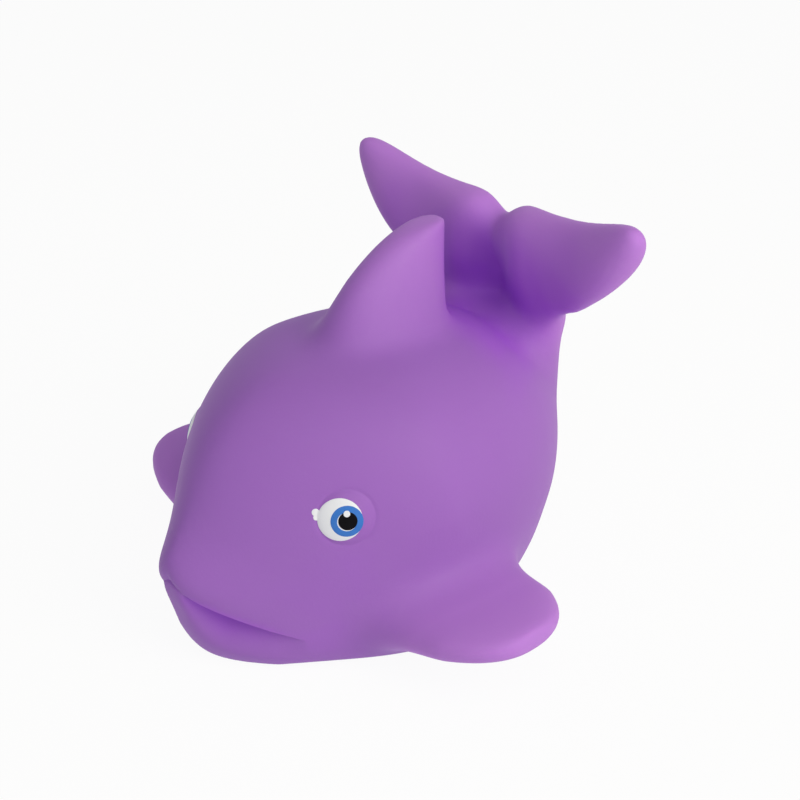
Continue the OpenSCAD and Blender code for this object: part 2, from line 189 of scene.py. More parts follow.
# %% [markdown]
# Two large area lamps stand for the soft boxes of a product photograph. The stronger one stands to the
# right and a little behind, and it is warm: the rump, the near side of the fin and the near flipper are the
# brightest places. The other one hangs above the near side, so that the far side stays a little darker.

# %% Lamps
toy_middle = Vector((0, 0, 0.03))


def soft_box(name, stand, size, watts, colour):
    """A square area lamp that looks at the middle of the toy."""
    lamp = bpy.data.lights.new(name, "AREA")
    lamp.color = colour
    lamp.size = size
    lamp.energy = watts
    holder = bpy.data.objects.new(name, lamp)
    scene.collection.objects.link(holder)
    holder.location = stand
    holder.rotation_euler = (toy_middle - Vector(stand)).to_track_quat("-Z", "Y").to_euler()


soft_box("key_box", (0.62, 0.12, 0.36), size=0.40, watts=2.2, colour=(1.0, 0.98, 0.77))
soft_box("fill_box", (0.44, -0.14, 0.60), size=0.60, watts=2.0, colour=(1.0, 1.0, 1.0))

# %% [markdown]
# A rotocast toy is a bundle of soft round forms that flow into each other: body, tail, flukes, fin
# and flippers. Each of them is drawn as a stack of rings. A UV sphere already is a stack of
# rings, so every form starts as one, and its points are slid to where the form's own ring lies. The
# rings near the poles become flat caps. A plain can tries it out.

# %% From a sphere to a form
def cast_form(ring_point, around, along, cap):
    """A sphere whose rings are laid on ring_point(share along, angle), closed by flat caps."""
    bm = bmesh.new()
    bmesh.ops.create_uvsphere(bm, u_segments=around, v_segments=along, radius=1)
    for v in bm.verts:
        level = 0.5 + asin(max(-1, min(1, v.co.z))) / pi
        share = max(0, min(1, (level - cap) / (1 - 2 * cap)))
        open_to = min(1, level / cap, (1 - level) / cap)
        middle = (ring_point(share, 0) + ring_point(share, 90) + ring_point(share, 180)
                  + ring_point(share, 270)) / 4
        angle = degrees(atan2(v.co.y, v.co.x)) % 360
        v.co = middle + open_to * (ring_point(share, angle) - middle)
    bmesh.ops.remove_doubles(bm, verts=bm.verts, dist=0.01)
    bmesh.ops.recalc_face_normals(bm, faces=bm.faces)
    return bm


def box_of(bm):
    """Width, length and height of a form, rounded for a printed line."""
    return [round(max(v.co[k] for v in bm.verts) - min(v.co[k] for v in bm.verts), 1) for k in range(3)]


can = cast_form(lambda t, turn: Vector((cos(radians(turn)), sin(radians(turn)), 3 * t)),
                around=24, along=24, cap=0.2)
print("a trial can:", len(can.verts), "points,", box_of(can), "mm")
can.free()

# %% [markdown]
# The body is a bun with a flat belly. It is widest low down, at the cheeks, and its plan is a wedge
# toward the nose and a half ellipse toward the rump. A few roundness numbers say how quickly it closes
# toward the crown and the belly, and the snout is a soft bulge that follows the lip. Sculpting it by
# hand would work too, but the formula keeps both sides alike.

# %% Body
body_w, body_h, head_l, rump_l = 54.1, 45.7, 32, 42
cheek_z, crown_back, rump_tuck, saddle, saddle_h = 15.8, 2.2, 5.8, 2.1, 5.2
base_round, base_sink, crown_round = 4.8, 3.29, 2.8
face_point, nose_round, rump_point = 1.48, 0.22, 0.94
snout_out, snout_z, snout_h, snout_round, snout_fall = 4.5, 16.7, 7.7, 6, 0.8
lip_z, lip_drop, lip_round, mouth_half = 16.6, 9.8, 1.2, 42
rim_z = 41.5


def girth(z):
    """Share of the full width that the body has at height z."""
    if z < cheek_z:
        return (1 - ((cheek_z - z) / (cheek_z + base_sink)) ** base_round) ** (1 / base_round)
    return max(0, 1 - ((z - cheek_z) / (body_h - cheek_z)) ** crown_round) ** (1 / crown_round)


def rump_girth(z):
    """Share of the full reach that the rump has at height z, with the tuck and the saddle taken off."""
    tuck = rump_tuck / rump_l * max(0, (cheek_z - z) / cheek_z)
    return girth(z) - tuck - saddle / rump_l * exp(-((z - rim_z) / saddle_h) ** 2)


def wedge(c):
    """Plan of the head: straight cheeks with a rounded nose."""
    return c * ((c * c + nose_round) / (1 + nose_round)) ** ((face_point - 1) / 2)


def crown_shift(z):
    """How far the body leans back at height z."""
    return crown_back * max(0, (z - cheek_z) / (body_h - cheek_z))


def lip_below(off):
    """How far the upper lip lies below its front, at an angle away from the nose."""
    return lip_drop * min(1, off / mouth_half) ** lip_round


def body_point(turn, z):
    """A point of the body at height z; the nose lies at a turn of 270 degrees."""
    c, s = cos(radians(turn)), sin(radians(turn))
    if s < 0:
        across = girth(z) * wedge(c)
        level = z + snout_fall * lip_below(degrees(acos(min(1, -s)))) - snout_z
        snout = snout_out * exp(-(level / snout_h) ** 2) * (-s) ** snout_round
        along = (head_l * girth(z) + snout) * wedge(s)
    else:
        blend = girth(z) * (1 - s) + rump_girth(z) * s
        across = blend * (1 if c > 0 else -1) * abs(c) ** rump_point
        along = rump_l * rump_girth(z) * s ** rump_point
    return Vector((body_w / 2 * across, along + crown_shift(z), z))


body = cast_form(lambda t, turn: body_point(turn, body_h * sin(pi / 2 * t)), around=224, along=128, cap=0.12)
print("body:", len(body.verts), "points,", box_of(body), "mm")

# %% [markdown]
# The flukes are like a pair of cupped leaves. One row of flat rings makes both, from tip to tip: the front
# edge curls toward the fin, the rear edge rises to the tips, and a valley is pressed between two plump lobes.
# On the real toy they are turned by a little less than a degree, and so they are here.

# %% Flukes
fluke_span, fluke_z, fluke_low_z, notch_z = 31.9, 67, 56.2, 57.3
rim_in = 4.4
rim_y = rump_l - rim_in
fluke_curl, curl_turn, fluke_t, fluke_root, root_fade = 4.4, 146, 6.8, 5, 8
valley_deep, valley_w = 6.8, 5.2
lobe_out, lobe_x, lobe_wide, lobe_round, lobe_low, lobe_grow = 3.2, 6.4, 7.5, 0.7, 0.35, 0.8
lobe_h, lobe_w, notch_w, sweep_from, edge_round = 3, 20, 3.3, 10.2, 1.36
tip_rise, tip_round, tip_open, tip_thin, blade_round = 2.43, 9.8, 0.02, 0.14, 0.85
notch_back, rear_lean, rear_curl, rear_round, fluke_twist = -0.6, 2.1, 2.4, 4, 0.014


def fluke_point(t, turn):
    """A point of the flukes: t runs from tip to tip, and turn goes around the blade."""
    x = fluke_span * sin(pi * (t - 0.5))
    u = abs(x) / fluke_span
    sweep = max(0, (abs(x) - sweep_from) / (fluke_span - sweep_from))
    front_y = rim_y - fluke_curl * sin(radians(curl_turn * sweep))
    front_z = rim_z - fluke_root * (1 - sweep) ** root_fade + (fluke_low_z - rim_z) * sweep ** edge_round
    rear_y = rim_y + notch_back - rear_lean * u - rear_curl * u ** rear_round
    lobe = lobe_h * (1 - exp(-(x / notch_w) ** 2)) * exp(-(x / lobe_w) ** 2)
    rear_z = notch_z + lobe + (fluke_z - notch_z) * u ** tip_rise
    open_to = sqrt(max(tip_open, 1 - u ** tip_round))
    chord = 0.5 - cos(radians(turn)) / 2 * open_to
    upright = sin(radians(turn))
    swell = fluke_t / 2 * abs(upright) ** blade_round * (tip_thin + (1 - tip_thin) * open_to)
    pillow = lobe_out * exp(-((abs(x) - lobe_x) / lobe_wide) ** 2)
    pillow = pillow * abs(upright) ** lobe_round * (lobe_low + lobe_grow * chord)
    valley = valley_deep * exp(-(x / valley_w) ** 2) * upright ** 2 * (1 - chord)
    push = valley - swell - pillow if turn < 180 else swell
    return Vector((x, front_y + (rear_y - front_y) * chord + push,
                   front_z + (rear_z - front_z) * chord + fluke_twist * x))


flukes = cast_form(fluke_point, around=112, along=176, cap=0.04)
print("flukes:", box_of(flukes), "mm")

# %% [markdown]
# The tail rises from the rump as a short thick stock. Its rings are ovals that grow thinner toward the top,
# and they widen a little right under the flukes, so that the two flow into each other.

# %% Tail stock
stock_w, stock_flare, stock_t, stock_deep, stock_tilt = 27.4, 2.2, 11.5, 9, 0.6
stock_from, stock_back, stock_taper, taper_round, stock_lap = 14, 1.3, 5, 4, 0.6
stock_brim, brim_h = 1.5, 6.0


def stock_point(t, turn):
    """A point of the tail stock: t runs upward from inside the body."""
    c, s = cos(radians(turn)), sin(radians(turn))
    rise = sin(pi / 2 * t)
    depth = stock_t + stock_deep * sqrt(max(0, 1 - rise ** 3))
    top = rim_z + stock_lap + stock_tilt * s
    z = stock_from + (top - stock_from) * rise
    brim = stock_brim * max(0, 1 - (top - z) / brim_h) ** 2
    rear = rump_l + stock_back - stock_taper * (1 - rise) ** taper_round
    return Vector(((stock_w / 2 + stock_flare * (1 - rise) + brim) * c, rear - depth / 2 * (1 - s), z))


stock = cast_form(stock_point, around=112, along=64, cap=0.15)
print("stock:", box_of(stock), "mm")

# %% [markdown]
# The dorsal fin is a thick triangle with a round tip that leans back. It is a stack of long ovals that
# shrink toward the tip and flare out where they sink into the back.

# %% Dorsal fin
fin_z, fin_rear, fin_l, fin_tip_l, fin_t, fin_tip_t = 61, 22.5, 29.9, 3.4, 12.4, 4.1
fin_sunk, fin_lean, fin_lean_round, fin_sweep = 8, 0.7, 6, 1.6
fin_round, fin_blunt, fin_flare, flare_round = 1.38, 0.9, 7, 4
fin_from = body_h - fin_sunk


def fin_point(t, turn):
    """A point of the fin: t runs upward from inside the body."""
    rear = fin_rear - fin_lean * t ** fin_lean_round - fin_sweep * (1 - t)
    front = fin_rear - fin_tip_l - (fin_l - fin_tip_l) * (1 - t ** fin_round)
    side = sin(radians(turn))
    thick = (fin_t + (fin_tip_t - fin_t) * t) / 2 + fin_flare * (1 - t) ** flare_round
    half = thick * abs(side) ** fin_blunt
    return Vector((half if side > 0 else -half,
                   front + (rear - front) * (1 - cos(radians(turn))) / 2,
                   fin_from + (fin_z - fin_from) * sin(pi / 2 * t)))


fin = cast_form(fin_point, around=96, along=96, cap=0.1)
print("fin:", box_of(fin), "mm")

# %% [markdown]
# The flippers are blunt paddles that stand out from the flanks, drawn as ovals that shrink along their
# reach. The second one is a mirrored copy, so its faces have to be turned outward again. On the real toy
# the two aren't quite alike, and each gets a nudge of its own.

# %% Flippers
flipper_x, flipper_l, flipper_tip_l, flipper_y, flipper_lean = 44.4, 27.6, 5, 0.3, -1.3
flipper_z, flipper_t, flipper_tip_t = 12, 10, 3.7
flipper_from, flipper_from_z, flipper_thin, flipper_flare, flipper_blunt = 14, 6.3, 0.25, 2.7, 0.85
left_nudge, right_nudge = (0.2, 0.2, 0.4), (0.3, -0.8, -1.0)


def blunt(c):
    """A sine or cosine that turns the oval section of a flipper a little boxy."""
    return (1 if c > 0 else -1) * abs(c) ** flipper_blunt


def flipper_point(t, turn):
    """A point of the left flipper: t runs outward from inside the body."""
    reach = sin(pi / 2 * t)
    open_to = sqrt(max(0, 1 - reach ** 3))
    flare = flipper_flare * (1 - reach) ** 2
    half_l = (flipper_tip_l + (flipper_l - flipper_tip_l) * open_to) / 2 + flare
    half_t = (flipper_tip_t + (flipper_t - flipper_tip_t) * open_to) / 2 * (1 - flipper_thin * reach) + flare
    c, s = blunt(cos(radians(turn))), blunt(sin(radians(turn)))
    return Vector((flipper_from + (flipper_x - flipper_from) * reach,
                   flipper_y + flipper_lean * reach ** 2 + half_l * c,
                   max(0, flipper_from_z + (flipper_z - flipper_from_z) * reach + half_t * s)))


left_flipper = cast_form(flipper_point, around=96, along=96, cap=0.06)
right_flipper = left_flipper.copy()
bmesh.ops.scale(right_flipper, vec=(-1, 1, 1), verts=right_flipper.verts)
bmesh.ops.translate(right_flipper, vec=right_nudge, verts=right_flipper.verts)
bmesh.ops.translate(left_flipper, vec=left_nudge, verts=left_flipper.verts)
bmesh.ops.recalc_face_normals(right_flipper, faces=right_flipper.faces)
print("flipper:", box_of(left_flipper), "mm")

# %% [markdown]
# In the mould these forms are one skin. Placing them all in one mesh and letting the Remesh modifier
# walk over it with half-millimetre voxels keeps only the outside and makes one even net of points. An
# exact Boolean would keep sharp creases, which soft vinyl doesn't have.

# %% One skin
voxel = 0.54
forms = [body, flukes, stock, fin, left_flipper, right_flipper]
trees = [BVHTree.FromBMesh(form) for form in forms]
heap = bmesh.new()
for form in forms:
    form_mesh = bpy.data.meshes.new("form")
    form.to_mesh(form_mesh)
    heap.from_mesh(form_mesh)
    bpy.data.meshes.remove(form_mesh)
skin = bpy.data.objects.new("vinyl_skin", bpy.data.meshes.new("vinyl_skin"))
heap.to_mesh(skin.data)
heap.free()
scene.collection.objects.link(skin)


def settle(piece):
    """Puts what a piece's modifiers make into its mesh, and takes them off."""
    graph = bpy.context.evaluated_depsgraph_get()
    made = bpy.data.meshes.new_from_object(piece.evaluated_get(graph))
    piece.modifiers.clear()
    piece.data = made


remesh = skin.modifiers.new("one_skin", "REMESH")
remesh.mode = "VOXEL"
remesh.voxel_size = voxel
settle(skin)
print("skin:", len(skin.data.vertices), "points after the remesh")

# %% [markdown]
# Where two forms meet, the mould has a generous round. The places are found by distance: a point that is
# close to two forms at once lies in their crease. Its weight in a vertex group tells the Smooth modifier how
# much it may move, so the creases melt together and the rest keeps its shape. The tail melts further at its
# sides and its back, the rear of the fin less far.

# %% Rounds between the forms
BODY, FLUKES, STOCK, FIN, LEFT_FLIPPER, RIGHT_FLIPPER = range(6)
creases = [(BODY, FIN, 8.0), (BODY, STOCK, 8.0), (STOCK, FLUKES, 6.5), (BODY, FLUKES, 3.0),
           (BODY, LEFT_FLIPPER, 9.0), (BODY, RIGHT_FLIPPER, 9.0)]
tail_side, tail_back, tail_reach = 10, rim_y + 1, 8.0
stock_top, fin_heel_y, fin_heel_reach = rim_z - 2.5, 17, 4.0
search_far, plateau, round_steps = 10, 1.6, 160


def crease_reach(pair, reach, co):
    """How near both forms have to be to a point that melts; none where the crease is left alone."""
    if pair == (STOCK, FLUKES) and (abs(co.x) > tail_side or co.y > tail_back):
        return tail_reach
    if pair == (BODY, STOCK) and co.z > stock_top:
        return None
    if pair == (BODY, FIN) and co.y > fin_heel_y:
        return fin_heel_reach
    return reach


def melt_skin(name, steps, group=""):
    """Smooths the skin all over, or by the weights of a vertex group."""
    smooth = skin.modifiers.new(name, "SMOOTH")
    smooth.factor = 0.5
    smooth.iterations = steps
    smooth.vertex_group = group
    settle(skin)


weights = {}
for v in skin.data.vertices:
    off = [tree.find_nearest(v.co, search_far)[3] for tree in trees]
    for a, b, usual in creases:
        reach = crease_reach((a, b), usual, v.co)
        if reach and off[a] is not None and off[b] is not None:
            closeness = 1 - max(off[a], off[b]) / reach
            if closeness > 0:
                weights[v.index] = max(weights.get(v.index, 0), min(1, plateau * closeness))
melt = skin.vertex_groups.new(name="melt")
for index, weight in weights.items():
    melt.add([index], weight, "REPLACE")
melt_skin("rounds", round_steps, "melt")
print(len(weights), "points were melted into rounds")

# %% [markdown]
# The flippers grow out of the flanks more softly than anything else on the toy, so their creases are melted
# a second time, over a wider band and with more steps. The weights fade toward the belly, which has to stay
# flat. A few steps all over then even out the net.

# %% Softer rounds at the flippers
flank_top, flank_x, flipper_reach, flipper_steps, even_steps = 24, 12, 11, 260, 5
belly_from, belly_to = 2, 7


def ramp(value, start, full):
    """Share of the way from start to full, held between 0 and 1."""
    return max(0, min(1, (value - start) / (full - start)))


flipper_melt = skin.vertex_groups.new(name="flipper_melt")
softened = 0
for v in skin.data.vertices:
    if v.co.z < flank_top and abs(v.co.x) > flank_x:
        off_body = trees[BODY].find_nearest(v.co)[3]
        off_flipper = min(trees[k].find_nearest(v.co)[3] for k in (LEFT_FLIPPER, RIGHT_FLIPPER))
        closeness = 1 - max(off_body, off_flipper) / flipper_reach
        weight = min(1, plateau * closeness) * ramp(v.co.z, belly_from, belly_to)
        if weight > 0:
            flipper_melt.add([v.index], weight, "REPLACE")
            softened += 1
melt_skin("flipper_rounds", flipper_steps, "flipper_melt")
melt_skin("even_out", even_steps)
print(softened, "points were melted again")

# %% [markdown]
# Where the casting is thin, at the tips of flukes, fin and flippers, light passes through it and the violet
# turns a little pinker. That glow is painted into the colour. How far a point stands off the body says how thin
# it is there, and the number is kept with the point as an attribute that the material will read.

# %% Thin places for a painted glow
fin_above, fin_before, fin_thin_at, thin_at = 40, 26, 25, 7
# the thin attribute is the mask for a painted glow, standing for light that passes through thin vinyl
thin = skin.data.attributes.new("thin", "FLOAT", "POINT")
for v in skin.data.vertices:
    on_fin = v.co.z > fin_above and v.co.y < fin_before
    off_body = trees[BODY].find_nearest(v.co)[3]
    thin.data[v.index].value = min(1, off_body / (fin_thin_at if on_fin else thin_at))
print("thin points:", sum(1 for d in thin.data if d.value > 0.5))

# %% [markdown]
# The mouth is a smile under a rolled upper lip: a crisp edge that runs from cheek to cheek, with a
# groove below it that fades into the chin. To cut the net exactly along the lip, the head is first sheared so
# that the lip becomes a flat line, then bisected there, and then sheared back.

# %% Cut along the lip
lip_step, corner_margin, cut_snap, halvings = 0.35, 4, 0.02, 22
head_back, head_top, head_low = -6, 26, -1


def off_nose(co):
    """Angle of a point of the head away from the nose, found by halving from its share of the width."""
    half_w = body_w / 2 * max(0.05, girth(min(co.z, body_h - 0.1)))
    share = min(0.999, abs(co.x) / half_w)
    low, high = 0.0, 1.0
    for _ in range(halvings):
        middle = (low + high) / 2
        low, high = (middle, high) if wedge(middle) < share else (low, middle)
    return degrees(asin(low))


skin_bm = bmesh.new()
skin_bm.from_mesh(skin.data)
lip_layer = skin_bm.verts.layers.float.new("lip")
off_layer = skin_bm.verts.layers.float.new("off")
head = [v for v in skin_bm.verts if v.co.y < head_back and head_low < v.co.z < head_top]
for v in head:
    v[off_layer] = off_nose(v.co)
    v[lip_layer] = lip_z - lip_drop * (v[off_layer] / mouth_half) ** lip_round
    v.co.z -= v[lip_layer]
faces = {f for v in head if v[off_layer] < mouth_half + corner_margin for f in v.link_faces
         if all(w[lip_layer] != 0 for w in f.verts)}
for level in (0.0, -lip_step):
    whole = [f for f in faces if f.is_valid]
    edges = {e for f in whole for e in f.edges}
    verts = {w for f in whole for w in f.verts}
    cut = bmesh.ops.bisect_plane(skin_bm, geom=whole + list(edges) + list(verts), dist=cut_snap,
                                 plane_co=(0, 0, level), plane_no=(0, 0, 1))
    faces |= {f for f in cut["geom"] if isinstance(f, bmesh.types.BMFace)}
for v in skin_bm.verts:
    if v[lip_layer]:
        v.co.z += v[lip_layer]
print("points on the head:", len(head), "- faces along the mouth:", len(faces))

# %% [markdown]
# With an edge loop exactly on the lip, pressing the mouth in is a plain move of points toward the body's axis.
# The groove is deepest right under the lip and fades over the chin. It is shallow under the nose, deepest
# halfway along the smile, and nothing at its corners, and a small roll above it rounds the lip.

# %% Press the mouth in
mouth_depth, mouth_front, mouth_h, mouth_close = 9.0, 0.15, 10.5, 0.55
scoop_from, scoop_to, scoop_fade = 0.15, 0.5, 1.1
lip_roll, lip_roll_h, roll_fade, lip_line = 1.6, 5, 1.5, 0.01
belly_flat, chin_z, crisp = 0.05, 2, radians(35)


def mouth_press(off, height):
    """How far a point is pressed in, from its angle off the nose and its height above the lip."""
    way = min(1, off / mouth_half)
    roll = lip_roll * (1 - way) ** roll_fade
    if height >= -lip_line:
        return roll * max(0, 1 - height / lip_roll_h) ** 2
    scoop = ramp(way, scoop_from, scoop_to)
    scoop = scoop * scoop * (3 - 2 * scoop)
    deepest = mouth_depth * (mouth_front + (1 - mouth_front) * scoop) * (1 - way) ** scoop_fade
    tall = mouth_h * (1 - mouth_close * way ** 2)
    deep = deepest * (1 - min(1, -height / tall) ** 2) ** 2
    return roll + (deep - roll) * min(1, -height / lip_step)


for v in skin_bm.verts:
    if v[lip_layer] and v[off_layer] < mouth_half:
        lean = crown_shift(v.co.z)
        out = hypot(v.co.x, v.co.y - lean)
        keep = 1 - mouth_press(v[off_layer], v.co.z - v[lip_layer]) / max(1, out)
        v.co.x *= keep
        v.co.y = lean + (v.co.y - lean) * keep
for v in skin_bm.verts:
    if v.co.z < belly_flat:
        v.co.z = 0
for layer in ("lip", "off"):
    skin_bm.verts.layers.float.remove(skin_bm.verts.layers.float[layer])
bmesh.ops.triangulate(skin_bm, faces=[f for f in skin_bm.faces if len(f.verts) > 4])
skin_bm.normal_update()
lip_edges = [e for e in skin_bm.edges if e.verts[0].co.y < head_back and e.verts[0].co.z > chin_z
             and e.calc_face_angle(0) > crisp]
for e in lip_edges:
    e.smooth = False
print("mouth pressed in; skin has", len(skin_bm.faces), "faces and", len(lip_edges), "sharp edges at the lip")

# %% [markdown]
# The eyeballs are moulded too: two low round domes with a fine crease around them. They are raised from
# the finished skin, after its net is made four times as fine there, because a remesh would have blurred the
# crease. The face's own normal, taken from two short steps along it, says which way is out.

# %% Eyeballs
eye_z, eye_off, eye_ring, eye_rise, crease_deep, crease_w = 28.2, 51.8, 4.4, 0.95, 0.08, 0.35
eye_margin, eye_depth, halved_edges = 1, 4, 2
eye_column = 270 + eye_off
along_face = body_point(eye_column + 1, eye_z) - body_point(eye_column - 1, eye_z)
up_face = body_point(eye_column, eye_z + 0.5) - body_point(eye_column, eye_z - 0.5)
eye_out = along_face.cross(up_face).normalized()
eye_place = (Matrix.Translation(body_point(eye_column, eye_z))
             @ Matrix.Rotation(atan2(eye_out.y, eye_out.x), 4, "Z")
             @ Matrix.Rotation(acos(eye_out.z), 4, "Y"))
mirror = {"left": Matrix.Identity(4), "right": Matrix.Scale(-1, 4, (1, 0, 0))}
from_eye = {side: (eye_place.inverted() @ mirror[side]) for side in mirror}


def by_eye(at):
    """Whether a point, seen from an eye, lies on that eye or right beside it."""
    return hypot(at.x, at.y) < eye_ring + eye_margin and abs(at.z) < eye_depth


for side in mirror:
    for _ in range(halved_edges):
        near = {v for v in skin_bm.verts if by_eye(from_eye[side] @ v.co)}
        around = list({e for v in near for e in v.link_edges if e.other_vert(v) in near})
        bmesh.ops.subdivide_edges(skin_bm, edges=around, cuts=1, use_grid_fill=True)
    for v in skin_bm.verts:
        at = from_eye[side] @ v.co
        if by_eye(at):
            away = hypot(at.x, at.y)
            dome = eye_rise * max(0, 1 - (away / eye_ring) ** 2)
            at.z += dome - crease_deep * exp(-((away - eye_ring) / crease_w) ** 2)
            v.co = from_eye[side].inverted() @ at
bmesh.ops.triangulate(skin_bm, faces=[f for f in skin_bm.faces if len(f.verts) > 4])
skin_bm.normal_update()
skin_bm.to_mesh(skin.data)
skin_tree = BVHTree.FromBMesh(skin_bm)
skin_bm.free()
print("left eye at", [round(v, 2) for v in eye_place.translation], "mm; skin has",
      len(skin.data.polygons), "faces")

# %% [markdown]
# Between the flukes and under the lip, light goes from violet to violet before it comes out, and the shade
# there is deeper. That shade is painted into the colour. For each point near these creases a fan of rays is
# sent out, and the share of them that meets the toy again is kept as a second attribute. A little averaging
# takes the steps out of it.

# %% Painted shade in the hollows
fan_rays, fan_turn, fan_low, fan_step = 50, 2.4, -0.98, 0.04
ray_lift, ray_reach, grazing, averagings = 0.3, 25, 0.1, 6
mouth_y, mouth_z, tail_y, tail_z = (-12, -18), (24, 20), (16, 22), (34, 38)
mouth_gain, tail_gain = 3, 1.4
fan = []
for k in range(fan_rays):
    height = fan_low + fan_step * k
    flat = sqrt(1 - height * height)
    fan.append(Vector((flat * cos(fan_turn * k), flat * sin(fan_turn * k), height)))
# painted shade: the share of rays that meet the toy again, for the material to deepen the violet in creases
hollow = skin.data.attributes.new("hollow", "FLOAT", "POINT")
found = {}
for v in skin.data.vertices:
    by_mouth = min(ramp(v.co.y, *mouth_y), ramp(v.co.z, *mouth_z))
    by_tail = min(ramp(v.co.y, *tail_y), ramp(v.co.z, *tail_z))
    if max(by_mouth, by_tail) > 0:
        facing = [(ray, ray.dot(v.normal)) for ray in fan]
        start = v.co + ray_lift * v.normal
        met = sum(f for ray, f in facing if f > grazing and skin_tree.ray_cast(start, ray, ray_reach)[0])
        found[v.index] = max(by_mouth, by_tail) * met / sum(f for ray, f in facing if f > grazing)
beside = {k: [] for k in found}
for a, b in (e.vertices for e in skin.data.edges):
    if a in beside and b in beside:
        beside[a].append(b)
        beside[b].append(a)
for _ in range(averagings):
    found = {k: (found[k] + sum(found[n] for n in beside[k])) / (1 + len(beside[k])) for k in found}
for k, share in found.items():
    gain = mouth_gain if skin.data.vertices[k].co.y < 0 else tail_gain
    hollow.data[k].value = min(1, gain * share)
print("points near the creases:", len(found), "- deepest:", round(max(found.values()), 2))

# %% [markdown]
# The squeaker sits in a stepped bore in the belly. The bore's profile is drawn as a few points and spun
# into a cutter, and a Boolean takes it out of the skin. Its radii leave the same small clearance around
# flange and barrel as the CAD seat does, and above them it opens into a room around the cap.

# %% Seat of the squeaker
flange_r, flange_z, barrel_r, barrel_z, room_r, room_z, below = 9.65, 1.8, 7.85, 6, 11, 14, -1
seat_profile = [(0, below), (flange_r, below), (flange_r, flange_z), (barrel_r, flange_z),
                (barrel_r, barrel_z), (room_r, barrel_z), (room_r, room_z), (0, room_z)]


def spun(profile, steps):
    """A closed solid of revolution about Z from points (radius, height)."""
    bm = bmesh.new()
    points = [bm.verts.new((r, 0, z)) for r, z in profile]
    line = [bm.edges.new(pair) for pair in zip(points, points[1:])]
    bmesh.ops.spin(bm, geom=points + line, cent=(0, 0, 0), axis=(0, 0, 1), angle=2 * pi, steps=steps,
                   use_merge=True)
    bmesh.ops.remove_doubles(bm, verts=bm.verts, dist=0.0001)
    bmesh.ops.recalc_face_normals(bm, faces=bm.faces)
    return bm


cutter = bpy.data.objects.new("seat_cutter", bpy.data.meshes.new("seat_cutter"))
cutter_bm = spun(seat_profile, steps=96)
bmesh.ops.translate(cutter_bm, vec=(0, squeaker_y, 0), verts=cutter_bm.verts)
cutter_bm.to_mesh(cutter.data)
cutter_bm.free()
scene.collection.objects.link(cutter)
seat_cut = skin.modifiers.new("seat", "BOOLEAN")
seat_cut.operation = "DIFFERENCE"
seat_cut.solver = "EXACT"
seat_cut.object = cutter
settle(skin)
bpy.data.objects.remove(cutter)
print("skin with its seat:", len(skin.data.polygons), "faces")

# %% [markdown]
# The finished skin goes to metres and into the frame. It stands for the CAD casting and rides on the shell. The
# soft toy flattens toward the plane of symmetry when its cheeks are squeezed between finger and thumb.


def place(piece):
    """Moves a finished mesh from the maker's millimetres into the frame."""
    piece.data.transform(Matrix.Translation((0, shift_y / 1000, 0)) @ Matrix.Scale(0.001, 4))
    for face in piece.data.polygons:
        face.use_smooth = True
    piece.data.update()


place(skin)
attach(skin, "shell")
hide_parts("body_shell")
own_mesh(skin)
print("skin triangles:", sum(len(f.vertices) - 2 for f in skin.data.polygons))

# %% [markdown]
# Each eye is printed in four thin coats: white, blue, black and a white glint. A coat is a spun disc with a
# rounded rim, shifted in the eye's own plane and dropped onto the skin by a ray for each of its points. The
# blue coat has a hole, and the black doesn't quite fill it, so a thin light line shows beside it.

# %% Eye coats
coat_rings, coat_steps, ray_height = 10, 72, 6
rim_angles = [a * pi / 8 for a in range(3, -4, -1)]


def coat_disc(radius, low, high, hole=0.0):
    """A thin spun disc, or a ring, with a rounded rim and enough rings to follow the eyeball."""
    rim = (high - low) / 2
    inside = radius - rim
    top = [(hole + (inside - hole) * k / coat_rings, high) for k in range(coat_rings + 1)]
    edge = [(inside + rim * cos(a), (low + high) / 2 + rim * sin(a)) for a in rim_angles]
    bottom = [(r, low) for r, _ in reversed(top)]
    profile = top + edge + bottom
    if hole:
        profile.append(profile[0])
    return spun(profile, coat_steps)


def drop_on_skin(disc, up, forward, side):
    """Lays a flat disc on one eye, shifted up and toward the nose; its heights then count from the skin."""
    to_skin = from_eye[side].inverted()
    inward = (to_skin.to_3x3() @ Vector((0, 0, -1))).normalized()
    for v in disc.verts:
        start = to_skin @ Vector((v.co.x - up, v.co.y - forward, ray_height))
        v.co = skin_tree.ray_cast(start, inward)[0] - inward * v.co.z
    bmesh.ops.recalc_face_normals(disc, faces=disc.faces)


# each coat has a radius, an underside, a top and a hole, a shift up and toward the nose, and its CAD paint
coats = {
    "eye_white": (3.4, -0.10, 0.05, 0.0, -0.12, 1.0, "white_paint"),
    "iris": (2.48, 0.0, 0.08, 1.5, -0.28, 0.0, "blue_paint"),
    "pupil": (1.45, 0.0, 0.11, 0.0, -0.18, -0.12, "black_paint"),
    "highlight": (0.5, 0.05, 0.14, 0.0, 1.0, 0.0, "white_paint"),
}
eye_pieces = {}
for coat, (radius, low, high, hole, up, forward, slot) in coats.items():
    for side, sign in (("left", 1), ("right", -1)):
        disc = coat_disc(radius, low, high, hole)
        drop_on_skin(disc, up, forward, side)
        piece = bpy.data.objects.new(side + "_" + coat + "_coat", bpy.data.meshes.new(side + "_" + coat))
        disc.to_mesh(piece.data)
        disc.free()
        scene.collection.objects.link(piece)
        eye_pieces[side + "_" + coat] = (piece, side, sign, slot)
print("eye coats:", sorted(eye_pieces))

# %% [markdown]
# The print is not clean: beside the left eye, toward the nose, a fleck of white paint has landed on the vinyl.
# It is two overlapping drops, laid on the skin as the coats are and joined to the white coat that it came from.
# Then all the coats can go into the frame, each with the cheek that it is printed on.

